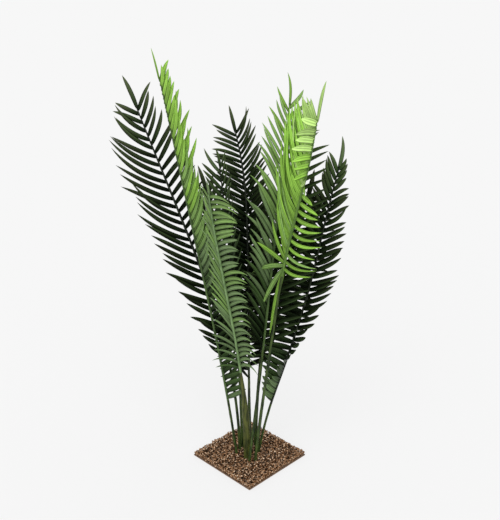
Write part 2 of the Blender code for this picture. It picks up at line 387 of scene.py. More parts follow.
sun = bpy.data.lights.new("sun", "SUN")
sun.energy = SUN_STRENGTH
sun.angle = math.radians(SUN_SOFTNESS)
sun_lamp = bpy.data.objects.new("sun", sun)
sun_lamp.rotation_euler = (math.radians(90.0 - SUN_HEIGHT), 0.0, math.radians(CAMERA_BEARING + SUN_ASIDE))
bpy.context.collection.objects.link(sun_lamp)
bpy.context.scene.view_settings.view_transform = "Standard"
print("a sun", SUN_HEIGHT, "degrees up and", SUN_SOFTNESS, "degrees wide")

# %% [markdown]
# ## The rule that the palm grows by
#
# Each frond is written down as a few sizes: where its foot stands, how it leans, where its first leaflet
# is, how long its leaflets are and how they are set. The solids were made by the same sizes and the same
# rule, which is why the fine leaflets below lie where the coarse ones are.

# %% What a frond is made of
CHIPS_TOP = 0.014
GAP = 0.0003
FOOT_LEVEL = CHIPS_TOP + GAP
STEM_FOOT_RADIUS = 0.0052


@dataclass
class Row:
    """The leaflets on one side of a rib. Each list runs from the first leaflet to the last."""

    tint: tuple      # from 0 for near-black to 6 for pale lime
    count: int
    width: tuple
    length: tuple
    spread: tuple    # angle between rib and leaflet
    lift: tuple      # angle that the row folds up from flat
    curl: tuple      # bend of a leaflet towards the tip of the frond
    droop: tuple     # bend of a leaflet towards the ground


@dataclass
class Frond:
    """How one frond stands, as values from its foot, or its first leaflet, to its tip."""

    name: str
    foot: tuple      # distance from the middle of the clump, and bearing
    heading: tuple   # bearing of the lean
    lean: tuple      # angle from upright
    bow: float       # extra lean half way up
    length: float    # foot to the last leaflet
    bare: float      # foot to the first leaflet
    face: tuple      # bearing that the upper side looks to
    end: float       # length of the leaflet that ends the frond
    rows: tuple      # the two rows, left first for one who looks at the upper side
    foot_radius: float = STEM_FOOT_RADIUS


print("a foot stands", FOOT_LEVEL, "m above the ground")

# %% [markdown]
# ### The twelve fronds
#
# A list of values runs evenly from the foot, or the first leaflet, to the tip. The fronds that the
# photograph shows come first, from left to right and front to back. The last four fill the rear of the
# clump.

# %% Sizes of the fronds
FRONDS = (
    Frond("far_left", (.032, 203), (255, 220, 185), (1.5, 28.1), 1.8, 1.087, .32,
          (-25, -50, -60), .095, (
        Row((0.2, 0.2, 0.2, 1.4), 31, (.0135, .0135), (.086, .122, .150, .156, .066), (44, 50, 52, 53, 46),
            (20, 12), (.12, .15, .30, .35, .20), (.02, .02)),
        Row((0.2, 0.2, 0.2, 1.6), 31, (.0135, .0135), (.080, .105, .120, .120, .080), (52, 54, 58, 60, 46),
            (20, 12), (.05, 0), (.02, .02))), .0046),
    # Painted shade: a quarter of the way up, both rows of tall_left are tinted dark where front_left shades
    # them.
    Frond("tall_left", (.040, 237), (240, 242), (7.0, 10.2), 1.4, 1.147, .19, (55, 40, 33), .082, (
        Row((2.4, 2.0, 0.6, 2.4, 3.6, 4.4, 4.8, 5.0, 5.0), 42, (.0160, .0120, .0115, .0125, .0130),
            (.065, .077, .086, .096, .100, .052), (72, 56, 47, 43, 34), (62, 60), (.05, .25, .40, .40, .25),
            (.02, .02)),
        Row((2.2, 2.0, 0.6, 2.4, 3.6, 4.4, 4.8, 5.0, 5.0), 42, (.0160, .0120, .0115, .0125, .0130),
            (.065, .077, .086, .096, .100, .052), (72, 56, 47, 43, 34), (66, 66), (.05, .25, .40, .40, .25),
            (.02, .02))), .0042),
    Frond("front_left", (.029, 303), (255, 307), (0.2, 25.9), 1.0, .912, .30, (-75, -75), .050, (
        Row((2.6, 3.4, 3.8, 3.6), 32, (.0120, .0085, .0085), (.085, .105, .105, .085, .050),
            (58, 24, 17, 16, 24), (10, 10), (0, 0), (.50, .10, .04, .02, .02)),
        Row((3.2, 3.5, 3.9), 34, (.0145, .0135, .0130), (.090, .096, .098, .096, .096, .090),
            (48, 50, 50, 50, 52, 60), (5, 0), (0, 0), (.60, .46, .34, .24, .22, .36))), .0115),
    Frond("front_right", (.048, 336), (55, 41, 27, 15, 2), (5.4, 6.6, 6.9, 7.4, 12.2, 14.4, 8.0), 0,
          1.050, .605, (-92, -85, -85, -95, -100), .106, (
        Row((4.4, 4.7, 5.2, 5.7, 5.8), 49, (.0170, .0120, .0125, .0150, .0160, .0120),
            (.115, .125, .150, .168, .180, .185, .180, .165, .145, .125, .100, .050),
            (170, 38, 42, 46, 52, 56, 60, 62, 62, 60, 56, 36), (0, 0),
            (0, .45, .40, .50, .65, .70, .70, .65, .55, .40, .30, .15), (.85, .05) + (.02,) * 10),
        Row((4.6, 4.9, 5.5, 6.0), 20, (.0140, .0130, .0200, .0220),
            (.080, .078, .072, .055, .050, .054, .045), (120, 120, 114, 100, 90, 85, 70),
            (0, 0, 0, 15, 90, 125, 115), (.90, .95, .85, .50, .15, .05, .05),
            (0, 0, .05, .30, .35, .35, .20))), .0044),
    Frond("far_right", (.028, 37), (55, 46), (9, 18, 15, 10, 13), 0, .914, .17,
          (233, 272, 286, 295), .085, (
        Row((3.1, 1.8, 0.5, 0.7, 0.8, 1.0, 2.2), 37, (.0180, .0165, .0155, .0120),
            (.050, .082, .115, .100, .065), (60, 94, 86, 50, 28), (75, 35, 20, 20, 20), (.08, .08),
            (.02, .12, .12, .02, .02)),
        Row((3.1, 1.8, 0.5, 0.7, 0.9, 1.0, 2.2), 37, (.0180, .0145, .0145, .0120),
            (.048, .080, .108, .088, .036), (60, 64, 58, 52, 30), (80, 35, 10, 10, 10), (.10, .22, .16),
            (.02, .04, .06, .02))), .0040),
    Frond("centre_right", (.048, 314), (79, 93, 90), (8.2, 7.9), 0, 1.058, .36, (-55, -60), .085, (
        Row((0.6, 2.9, 3.5, 4.3, 4.3), 32, (.0135, .0125, .0105, .0080), (.130, .160, .170, .135, .060),
            (34, 28, 28, 30, 30), (10, 10), (0, 0), (.20, .25, .22, .12, .02)),
        # Painted shade: this row of centre_right is tinted dark because it lies in shade at the back.
        Row((1.0, 1.0, 1.2, 1.8, 4.2), 28, (.0135, .0135, .0120), (.110, .140, .155, .142, .055),
            (58, 62, 62, 60, 40), (5, 5), (0, 0), (.02, .02))), .0044),
    Frond("back_middle", (.022, 140), (132, 135, 138, 142, 177), (2.3, 21.6), 0, .967, .43,
          (-50, -50), .080, (
        Row((0.2, 0.6, 1.4), 34, (.0145, .0135, .0110), (.080, .100, .108, .098, .072), (62, 58, 52),
            (10, 10), (.05, .05), (0, .10)),
        Row((0.2, 0.6, 1.4), 34, (.0145, .0125, .0095), (.080, .100, .105, .098, .080), (60, 56, 50),
            (10, 10), (.05, .30), (0, .02))), .0034),
    Frond("back_left", (.034, 175), (165, 168), (2.5, 13.2), 0, .875, .24, (-75, -75), .050, (
        Row((0.8, 2.2), 25, (.0150, .0110), (.058, .085, .100, .095, .070), (115, 62, 48, 42, 38), (30, 30),
            (.10, .10), (0, 0)),) * 2),
    Frond("back_right", (.030, 86), (72, 64), (6.0, 16.0), 0, .800, .30, (-45, -45), .085, (
        Row((0.2, 0.4), 22, (.0160, .0160), (.080, .125, .145, .120, .070), (92, 75, 55), (15, 15),
            (0, 0), (.10, .10)),
        Row((0.2, 0.4), 22, (.0160, .0160), (.050, .085, .112, .105, .070), (88, 75, 55), (15, 15),
            (0, 0), (.10, .10)))),
    Frond("rear_middle", (.036, 132), (142, 125), (11.7, 14.5), 0, .790, .23, (-35, -35), .085, (
        Row((0.2, 0.4), 22, (.0160, .0160), (.070, .095, .110, .090, .055), (65, 50, 38), (25, 25),
            (0, 0), (.10, .10)),) * 2),
    Frond("rear_right", (.038, 107), (120, 108), (6.0, 34.0), 0, .860, .32, (-65, -65), .085, (
        Row((1.4, 2.4), 19, (.0145, .0145), (.070, .100, .115, .095, .055), (66, 52, 38), (25, 25),
            (.10, .10), (.05, .05)),) * 2),
    Frond("rear_left", (.041, 155), (157, 165), (6.0, 32.0), 0, .800, .32, (-25, -25), .085, (
        Row((0.4, 1.2), 19, (.0150, .0150), (.070, .100, .115, .095, .055), (66, 52, 38), (25, 25),
            (.10, .10), (.05, .05)),) * 2),
)
print(len(FRONDS), "fronds with", sum(row.count for frond in FRONDS for row in frond.rows), "leaflets")

# %% [markdown]
# ### Where a rib runs
#
# A rib is a line whose lean and bearing change evenly from the foot up, so it is found by many short
# steps. Each step starts where the last one ended, and goes a little way in the direction that holds half
# way along it.

# %% Lines
CURVE_STEPS = 80


def along(stops, share):
    """The value at a share of the way through evenly spaced stops."""
    place = share * (len(stops) - 1)
    step = min(int(place), len(stops) - 2)
    return stops[step] + (stops[step + 1] - stops[step]) * (place - step)


def towards(bearing):
    return Vector((math.cos(math.radians(bearing)), math.sin(math.radians(bearing)), 0.0))


class Line:
    """The middle line of a frond from its foot up."""

    def __init__(self, frond):
        self.length = frond.length
        at = towards(frond.foot[1]) * frond.foot[0]
        at.z = FOOT_LEVEL
        self.points, self.ways = [at], []
        for step in range(CURVE_STEPS):
            share = (step + 0.5) / CURVE_STEPS
            lean = math.radians(along(frond.lean, share) + frond.bow * math.sin(math.pi * share))
            way = towards(along(frond.heading, share)) * math.sin(lean) + Vector((0, 0, math.cos(lean)))
            self.ways.append(way)
            self.points.append(self.points[-1] + way * frond.length / CURVE_STEPS)
        self.ways.append(self.ways[-1])

    def at(self, distance):
        """The point and the direction at a distance from the foot."""
        place = min(max(distance / self.length, 0.0), 1.0) * CURVE_STEPS
        step = min(int(place), CURVE_STEPS - 1)
        return self.points[step].lerp(self.points[step + 1], place - step), self.ways[step]


lines = [Line(frond) for frond in FRONDS]
print("the highest rib ends at", round(max(line.points[-1].z for line in lines), 3), "m")

# %% [markdown]
# ### Where the leaflets stand
#
# A leaflet leaves the rib at an angle, folds up from the frond's plane, and bends towards the frond's tip
# and the ground. Each of these is shaken a little by a seeded random draw, so that no two leaflets are
# alike and yet each run gives the same plant. One more leaflet ends the frond.

# %% Leaflets as sizes
FIRST_LEAFLET = 0.012
ANGLE_SPREAD = 4.0
LIFT_SPREAD = 6.0
LENGTH_SPREAD = 0.07
DROOP_SPREAD = 0.05
END_SEAT = 0.006


@dataclass
class Leaflet:
    root: Vector
    way: Vector      # direction at the root
    bend: Vector     # how far the tip is carried off that direction, for a length of 1
    across: Vector
    length: float
    width: float
    tint: float
    share: float     # how far up its frond it stands


def face_way(frond, way, share):
    """The direction that the frond's upper side looks to, square to its rib."""
    look = towards(along(frond.face, share))
    return (look - way * way.dot(look)).normalized()


def leaflet_at(frond, line, share, side, draw):
    root, way = line.at(along((frond.bare + FIRST_LEAFLET, frond.length), share))
    row = frond.rows[0 if side < 0 else 1]
    upper = face_way(frond, way, share)
    spread = math.radians(along(row.spread, share) + draw.uniform(-ANGLE_SPREAD, ANGLE_SPREAD))
    lift = math.radians(along(row.lift, share) + draw.uniform(-LIFT_SPREAD, LIFT_SPREAD))
    length = along(row.length, share) * draw.uniform(1 - LENGTH_SPREAD, 1 + LENGTH_SPREAD)
    droop = along(row.droop, share) + draw.uniform(-DROOP_SPREAD, DROOP_SPREAD)
    out = way.cross(upper) * side * math.cos(lift) + upper * math.sin(lift)
    start = way * math.cos(spread) + out * math.sin(spread)
    aside = way - start * way.dot(start)
    bend = aside * along(row.curl, share) - Vector((0, 0, droop))
    return Leaflet(root, start, bend, aside.normalized() * side, length, along(row.width, share),
                   along(row.tint, share), share)


def end_leaflet(frond, line):
    root, way = line.at(frond.length - END_SEAT)
    across = face_way(frond, way, 1.0).cross(way).normalized()
    row = frond.rows[0]
    return Leaflet(root, way, Vector((0, 0, 0)), across, frond.end, row.width[-1], row.tint[-1], 1.0)


def leaflets_of(frond, line, draw):
    made = []
    for side, row in zip((-1, 1), frond.rows):
        for step in range(row.count):
            share = (step + (0.5 if side > 0 else 0.0)) / row.count
            made.append(leaflet_at(frond, line, share, side, draw))
    return made + [end_leaflet(frond, line)]


leaflets = []
for number, (frond, line) in enumerate(zip(FRONDS, lines)):
    leaflets += leaflets_of(frond, line, random.Random(number))
print(len(leaflets), "leaflets, the longest", round(max(leaflet.length for leaflet in leaflets), 3), "m")

# %% [markdown]
# ## Leaflets
#
# A leaflet is a narrow blade with a raised midrib. It leaves the rib on a short neck, stays nearly as
# wide for most of its length, and then draws out to a hooked point. All of them have the same shape, so
# one tree makes them: it puts a small tube on each root, and then moves the tube's corners to where the
# blade's surface is. The tube's own height tells how far along the blade a corner is, and its width tells
# how far across. The share u runs from 0 at the root to 1 at the tip.

# %% The tree of the leaflets
BLADE_SIDES = 8
BLUNT = 0.01
NECK = 0.14
TAPER_START = 3.2
TAPER = 0.85
FULLNESS = 1.16
EDGE_BODY = 0.3


def build_leaflet_tree():
    tree, inputs, end = shape_tree("leaflets", {
        "Material": "Material", "Fold": "Float", "Thickness": "Float", "Rings": "Int"})
    blank = tree.node("GeometryNodeMeshCylinder", {"fill_type": "NGON"}, {
        "Vertices": BLADE_SIDES, "Side Segments": inputs["Rings"], "Radius": 1.0, "Depth": 1.0})
    blank = store(tree, blank, "local", position(tree), "FLOAT_VECTOR")
    roots = store(tree, inputs["Geometry"], "root", position(tree), "FLOAT_VECTOR")
    blades = tree.node("GeometryNodeInstanceOnPoints", {}, {"Points": roots, "Instance": blank})
    blades = tree.node("GeometryNodeRealizeInstances", {}, {0: blades})

    aside, thick, up = named(tree, "local", "FLOAT_VECTOR").parts()
    u = up + 0.5
    root, way, bend, flat = (
        named(tree, label, "FLOAT_VECTOR") for label in ("root", "way", "bend", "across"))
    length, half, twist, hook = (named(tree, label) for label in ("length", "half", "twist", "hook"))
    middle = root + (way * u + bend * (u * u) + flat * (hook * u ** 3)) * length
    run = (way + bend * (u * 2.0)).function("NORMALIZE")
    over = run.function("CROSS_PRODUCT", flat).function("NORMALIZE")
    turn = twist * u
    across = flat * turn.function("COSINE") + over * turn.function("SINE")
    above = over * turn.function("COSINE") - flat * turn.function("SINE")

    outline = ((u + BLUNT) ** NECK) * ((1.0 + BLUNT - u ** TAPER_START) ** TAPER) * FULLNESS
    reach = half * outline
    body = thick * inputs["Thickness"] * (outline * (1.0 - EDGE_BODY) + EDGE_BODY) * 0.5
    height = body - aside.function("ABSOLUTE") * reach * inputs["Fold"]
    place = middle + across * (aside * reach) + above * height
    blades = tree.node("GeometryNodeSetPosition", {}, {0: blades, "Position": place})
    blades = store(tree, blades, "across_blade", aside)
    blades = store(tree, blades, "along_blade", u)
    end(tree.node("GeometryNodeSetShadeSmooth", {}, {0: blades, "Shade Smooth": True}))
    return tree


leaflet_tree = build_leaflet_tree()
print("the tree of the leaflets has", len(leaflet_tree.made.nodes), "nodes")

# %% [markdown]
# ### Tints of the leaflets
#
# The fronds run from near-black to a pale lime, and each frond holds a few neighbouring tints. A leaflet
# takes the nearest tint as its material, and the leaflets of one tint are one piece. What is left over,
# its tone, makes it a little paler or darker than the tint.

# %% Tints


@dataclass
class Tint:
    name: str
    colour: tuple
    roughness: float
    specular: float
    # The edge and root shades are painted shade on each leaflet's edges and root, where shade falls between
    # the leaflets; the sheen is a painted highlight on one half of it.
    edge_painted_shade: float    # how much darker the edges are
    root_painted_shade: float    # brightness at the root
    sheen: float         # how plainly the lit half shows


TINTS = (
    Tint("near_black", (0.0008, 0.0030, 0.0003), 0.50, 0.03, 0.72, 0.50, 0.75),
    Tint("dark", (0.0036, 0.0105, 0.0014), 0.50, 0.05, 0.72, 0.50, 1.10),
    Tint("deep", (0.0200, 0.0420, 0.0090), 0.48, 0.10, 0.72, 0.55, 0.90),
    Tint("mid", (0.0840, 0.1400, 0.0470), 0.46, 0.25, 0.66, 0.65, 0.30),
    Tint("fresh", (0.1520, 0.2680, 0.0640), 0.46, 0.20, 0.66, 0.72, 0.0),
    Tint("lime", (0.2150, 0.4100, 0.0530), 0.48, 0.16, 0.62, 0.72, 0.0),
    Tint("pale_lime", (0.3800, 0.5800, 0.1650), 0.48, 0.18, 0.36, 0.95, 0.0),
)
TINT_SPREAD = 0.40
TINT_SEED = 40

tint_draw = random.Random(TINT_SEED)
by_tint = [[] for _ in TINTS]
for leaflet in leaflets:
    leaflet.tint += tint_draw.uniform(-TINT_SPREAD, TINT_SPREAD)
    by_tint[min(max(round(leaflet.tint), 0), len(TINTS) - 1)].append(leaflet)
print("leaflets of each tint:", {tint.name: len(group) for tint, group in zip(TINTS, by_tint)})

# %% [markdown]
# ### Finish of the leaflets
#
# Light and shade are painted on each leaflet. It is painted paler along the midrib and towards its tip, a
# painted highlight, and darker at its edges and its root, a painted shade where the leaflets shade one
# another. Fine veins run along it. On the dark fronds one half of each leaflet is painted with a green
# sheen, a painted highlight, and every leaflet has a faint painted khaki sheen along its middle towards the
# tip. The highest leaflets have also faded to khaki at their tips. The blade's own two numbers, how far
# across and how far along, drive all of this, so the pattern follows each blade wherever it bends.

# %% Finish of a leaflet
TONE_STEP = 0.6
# Painted highlight: a leaflet is painted paler towards its tip, and along its midrib.
TIP_LIGHT = 0.50
STRIPES = 9.0
STRIPE_SHADE = 0.30
VEINS = 22.0
VEIN_HEIGHT = 0.00012
VEIN_STRENGTH = 0.6
# Painted shade: the root is painted darker over this share of the length, and the edge sizes below paint
# the edges darker, most near the root.
ROOT_REACH = 0.30
MIDRIB_LIGHT = 1.08
EDGE_POWER = 3.0
EDGE_AT_ROOT = 1.45
EDGE_EASE = 0.8
MOTTLE = 0.5
MOTTLE_SIZE = 60.0
# Painted highlight: the green sheen laid on one half of each dark leaflet.
SHEEN = (0.062, 0.112, 0.034)
SHEEN_REACH = 0.45
SHEEN_USUAL = 0.55
SHEEN_BY_TONE = 0.8
KHAKI = (0.150, 0.165, 0.085, 1.0)
KHAKI_POWER = 1.5


def leaf_finish(tint):
    material, tree, shader = finish(
        "leaf_" + tint.name, Roughness=tint.roughness, Specular_IOR_Level=tint.specular)
    across, along_it, tone, faded = (
        tree.carried(name) for name in ("across_blade", "along_blade", "tone", "faded"))
    edge = across.function("ABSOLUTE") ** EDGE_POWER
    # Painted shade at the root, where the leaflets crowd the rib.
    root = tree.spread(along_it, 0.0, ROOT_REACH, tint.root_painted_shade, 1.0)
    stripes = (across * STRIPES).function("SINE") * STRIPE_SHADE + 1.0
    # Painted highlight: paler towards the tip.
    tip = along_it * along_it * TIP_LIGHT + 1.0
    # Painted shade along the edges, darkest near the root, as in the gaps between leaflets.
    dip = edge * tint.edge_painted_shade * (EDGE_AT_ROOT - along_it * EDGE_EASE)
    shade = (MIDRIB_LIGHT - dip) * root * tip * (tone * TONE_STEP + 1.0) * stripes
    shade = shade * (object_noise(tree, MOTTLE_SIZE) * MOTTLE + (1.0 - MOTTLE / 2))
    # Painted sheen: one half of the leaflet is painted lighter, as if it caught the light.
    lit = tree.spread(across * -1.0, 0.0, SHEEN_REACH, 0.0, tint.sheen, interpolation_type="SMOOTHSTEP")
    lit = lit * (1.0 - edge) * along_it * (tone * SHEEN_BY_TONE + SHEEN_USUAL)
    paint = tint.colour * shade + SHEEN * lit
    # The khaki is faded tips on the highest leaflets and a faint painted sheen along the middle of every
    # leaflet.
    khaki = faded * along_it ** KHAKI_POWER * (1.0 - edge)
    feed(tree, shader, "Base Color", tree.mix(khaki, paint, KHAKI))
    veins = (across * VEINS).function("SINE")
    feed(tree, shader, "Normal", bump(tree, veins, VEIN_HEIGHT, VEIN_STRENGTH))
    return material


leaf_looks = [leaf_finish(tint) for tint in TINTS]
print("finishes:", [look.name for look in leaf_looks])

# %% [markdown]
# ### Growing the leaflets
#
# Each root becomes a bare point that carries its leaflet's sizes, and the tree does the rest. The twist
# and the hook are drawn at random. Towards the top of a frond the leaflets are slimmer and more hooked.

# %% Leaflets
BLADE_FOLD = 0.45
BLADE_THICKNESS = 0.0006
BLADE_RINGS = 14
TWIST = 0.45
HOOK = 0.045
TOP_HOOK = 3.0
TOP_SLIM = 0.06
# The first of these gives every leaflet a faint painted khaki sheen, the second fades the tips near the top
# of a frond to khaki, and the third lessens both on the paler tints.
KHAKI_SHEEN_ALL = 0.10
FADED_TOP = 0.55
FADE_AND_SHEEN_LESS = 0.12
TONE_REACH = 0.6


def leaflet_points(name, level, group):
    """The roots of one tint's leaflets, as points that carry the sizes of their leaflets."""
    numbers = {
        "length": [leaflet.length for leaflet in group],
        "half": [leaflet.width / 2 * (1 - TOP_SLIM * leaflet.share ** 2) for leaflet in group],
        "twist": [tint_draw.uniform(-TWIST, TWIST) for leaflet in group],
        "hook": [tint_draw.uniform(-HOOK, HOOK) * (1 + leaflet.share ** 2 * TOP_HOOK) for leaflet in group],
        "faded": [(KHAKI_SHEEN_ALL + leaflet.share ** 4 * FADED_TOP) * (1 - level * FADE_AND_SHEEN_LESS)
                  for leaflet in group],
        "tone": [min(max(leaflet.tint - level, -TONE_REACH), TONE_REACH) for leaflet in group],
    }
    vectors = {label: [getattr(leaflet, label) for leaflet in group] for label in ("way", "bend", "across")}
    return point_mesh(name, [leaflet.root for leaflet in group], numbers=numbers, vectors=vectors)


leaf_pieces = {}
for level, (tint, look, group) in enumerate(zip(TINTS, leaf_looks, by_tint)):
    leaf_pieces[tint.name] = grow(
        "leaflets_" + tint.name, leaflet_points(tint.name, level, group), leaflet_tree,
        {"Material": look, "Fold": BLADE_FOLD, "Thickness": BLADE_THICKNESS, "Rings": BLADE_RINGS})

# %% [markdown]
# ## Stems and ribs
#
# The bare stems are stout and slightly rough, with shallow furrows along them. The ribs are their
# thinner, smooth continuation. Both are tubes that follow a line, and one tree sweeps a ring along each
# line and then roughens it with two noises: one is drawn out along the stem for the furrows, and one is
# even, for the knots.

# %% The tree of the stems
FURROW_STRETCH = (1.0, 1.0, 0.12)
KNOT_SIZE = 0.7


def build_stem_tree():
    tree, inputs, end = shape_tree("stems", {
        "Material": "Material", "Sides": "Int", "Relief": "Float", "Grain": "Float"})
    curve = tree.node("GeometryNodeMeshToCurve", {}, {0: inputs["Geometry"]})
    ring = tree.node("GeometryNodeCurvePrimitiveCircle", {}, {"Resolution": inputs["Sides"], "Radius": 1.0})
    tube = tree.node("GeometryNodeCurveToMesh", {}, {
        0: curve, 1: ring, "Scale": named(tree, "thick"), "Fill Caps": True})
    spot = position(tree)
    furrow = tree.node("ShaderNodeTexNoise", {}, {
        "Vector": spot * FURROW_STRETCH, "Scale": inputs["Grain"], "Detail": 3.0})
    knots = tree.node("ShaderNodeTexNoise", {}, {
        "Vector": spot, "Scale": inputs["Grain"] * KNOT_SIZE, "Detail": 2.0})
    relief = (furrow + knots - 1.0) * inputs["Relief"]
    push = tree.node("GeometryNodeInputNormal", {}, {}) * relief
    tube = tree.node("GeometryNodeSetPosition", {}, {0: tube, "Offset": push})
    end(tree.node("GeometryNodeSetShadeSmooth", {}, {0: tube, "Shade Smooth": True}))
    return tree


stem_tree = build_stem_tree()
print("the tree of the stems has", len(stem_tree.made.nodes), "nodes")

# %% [markdown]
# A piece of stems or ribs starts as one mesh of bare edges, a row of points for each tube. Each point
# carries the tube's thickness there.

# %% Helpers for tubes
STREAK_SIZE = 160.0
STREAK_STRETCH = (1.0, 1.0, 0.15)
STREAK_HEIGHT = 0.0006


def stretch_of(line, low, high, radii, count):
    """The points of a frond's line between two distances from its foot, with the radius at each."""
    shares = [step / count for step in range(count + 1)]
    return [(line.at(along((low, high), share))[0], along(radii, share)) for share in shares]


def swept(name, stretches, values):
    """One piece of tubes, each stretch a list of points and radii."""
    points, edges, thick = [], [], []
    for stretch in stretches:
        first = len(points)
        points += [point for point, _ in stretch]
        thick += [radius for _, radius in stretch]
        edges += [(first + step, first + step + 1) for step in range(len(stretch) - 1)]
    return grow(name, point_mesh(name, points, edges, {"thick": thick}), stem_tree, values)


def stem_finish(name, low, high, roughness):
    """Two tones of one colour, in a mottle drawn out along the stem."""
    material, tree, shader = finish(name, Roughness=roughness, Specular_IOR_Level=0.25)
    streak = object_noise(tree, STREAK_SIZE, 3.0, STREAK_STRETCH)
    feed(tree, shader, "Base Color", tree.ramp([(0.35, low), (0.65, high)], streak))
    feed(tree, shader, "Normal", bump(tree, streak, STREAK_HEIGHT, 0.6))
    return material


print("helpers for tubes:", [helper.__name__ for helper in (stretch_of, swept, stem_finish)])

# %% [markdown]
# ### Stems
#
# The stout stem at the front is olive, and the others are a darker green, so there are two pieces.

# %% Stems
STEM_POINTS = 40
STEM_WAIST = 0.9
RIB_RADIUS = 0.0036
STEM_KINDS = {
    "olive": ((0.010, 0.016, 0.002), (0.088, 0.098, 0.018)),
    "green": ((0.004, 0.011, 0.002), (0.058, 0.095, 0.018)),
}


def stem_kind(frond):
    return "olive" if frond.name == "front_left" else "green"


def stem_stretch(frond, line):
    radii = (frond.foot_radius, frond.foot_radius * STEM_WAIST, RIB_RADIUS)
    return stretch_of(line, 0.0, frond.bare, radii, STEM_POINTS)


stem_pieces = {}
for kind, tones in STEM_KINDS.items():
    stretches = [stem_stretch(frond, line)
                 for frond, line in zip(FRONDS, lines) if stem_kind(frond) == kind]
    look = stem_finish("stem_" + kind, *tones, 0.50)
    stem_pieces[kind] = swept(
        "stems_" + kind, stretches, {"Material": look, "Sides": 14, "Relief": 0.0012, "Grain": 190.0})

# %% [markdown]
# ### Ribs
#
# A rib has about the tint of its frond's leaflets, so the ribs fall into four pieces: dark, sage, green
# and lime. Each rib starts a hair below the top of its stem, so that the two join without a slit.

# %% Ribs
RIB_POINTS = 60
RIB_RADII = (RIB_RADIUS, 0.0036, 0.0031, 0.0017)
RIB_KINDS = {
    "dark": ((0.003, 0.006, 0.002), (0.008, 0.014, 0.004)),
    "sage": ((0.095, 0.165, 0.060), (0.190, 0.300, 0.120)),
    "green": ((0.030, 0.060, 0.015), (0.070, 0.125, 0.032)),
    "lime": ((0.050, 0.110, 0.016), (0.120, 0.220, 0.040)),
}
RIB_LIMITS = {"dark": 2.2, "sage": 3.75, "green": 4.4, "lime": math.inf}
TINT_PLACE = 0.6


def rib_kind(frond):
    """The first kind whose limit is above the tint of the leaflets past the middle of the frond."""
    tint = along(frond.rows[0].tint, TINT_PLACE)
    return next(kind for kind, limit in RIB_LIMITS.items() if tint < limit)


def rib_stretch(frond, line):
    return stretch_of(line, frond.bare - GAP, frond.length, RIB_RADII, RIB_POINTS)


rib_pieces = {}
for kind, tones in RIB_KINDS.items():
    stretches = [rib_stretch(frond, line)
                 for frond, line in zip(FRONDS, lines) if rib_kind(frond) == kind]
    look = stem_finish("rib_" + kind, *tones, 0.45)
    rib_pieces[kind] = swept(
        "ribs_" + kind, stretches, {"Material": look, "Sides": 8, "Relief": 0.0002, "Grain": 120.0})

# %% [markdown]
# ## Base
#
# The board is stiff brown sheet, cut square, and shows only as a thin edge under the chips. The CAD solid
# has its true shape, so it stays and only gets a finish.

# %% Board
BOARD_TONES = [(0.3, (0.080, 0.043, 0.024)), (0.7, (0.260, 0.155, 0.092))]
GRAIN_SIZE = 220.0
GRAIN_STRETCH = (1.0, 1.0, 3.0)
GRAIN_HEIGHT = 0.0004


def board_finish():
    material, tree, shader = finish("board_brown", Roughness=0.85)
    grain = object_noise(tree, GRAIN_SIZE, 4.0, GRAIN_STRETCH)
    feed(tree, shader, "Base Color", tree.ramp(BOARD_TONES, grain))
    feed(tree, shader, "Normal", bump(tree, grain, GRAIN_HEIGHT))
    return material


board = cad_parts["base_board"]
board.data.materials.clear()
board.data.materials.append(board_finish())
base_low, base_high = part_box("base_board")
base_side = base_high.x - base_low.x
print("the board is", round(base_side, 3), "m a side")

# %% [markdown]
# ### Bark chips
#
# The chips are broken bark, glued on in a layer two or three deep and trimmed flush with the board. Each
# chip is an angular lump. A handful of lumps is made as the hull of a few random points, and a tree
# scatters them over the base, turned at random. What would stick out past the edge is pressed back to it,
# which gives the cut sides.

# %% Lumps
CHIP_SHAPES = 9
CHIP_POINTS = 11
CHIP_SIZE = (0.0062, 0.0046, 0.0022)
LUMP_REACH = (0.75, 1.0)
LUMP_SEED = 17


def make_lump(name, draw):
    bm = bmesh.new()
    for _ in range(CHIP_POINTS):
        way = Vector([draw.gauss(0, 1) for _ in range(3)]).normalized() * draw.uniform(*LUMP_REACH)
        bm.verts.new([part * size for part, size in zip(way, CHIP_SIZE)])
    hull = bmesh.ops.convex_hull(bm, input=bm.verts)
    inside = {part for part in hull["geom_interior"] + hull["geom_unused"]
              if isinstance(part, bmesh.types.BMVert)}
    bmesh.ops.delete(bm, geom=list(inside), context="VERTS")
    bmesh.ops.recalc_face_normals(bm, faces=bm.faces)
    mesh = bpy.data.meshes.new(name)
    bm.to_mesh(mesh)
    bm.free()
    return bpy.data.objects.new(name, mesh)


lumps = bpy.data.collections.new("lumps")
lump_draw = random.Random(LUMP_SEED)
for number in range(CHIP_SHAPES):
    lumps.objects.link(make_lump(f"lump_{number}", lump_draw))

# %% [markdown]
# ### The scatter
#
# The tree sets a lump on each point. It picks, turns and sizes the lump by random values with a fixed
# seed, and gives each chip a shade of its own for the finish. Then every corner is kept within the base's
# sides.

# %% The tree of the chips
CHIP_TILT = 0.6
CHIP_SCALES = (0.65, 1.25)
RANDOM_SOCKETS = {"FLOAT": (2, 3, 1), "FLOAT_VECTOR": (0, 1, 0)}


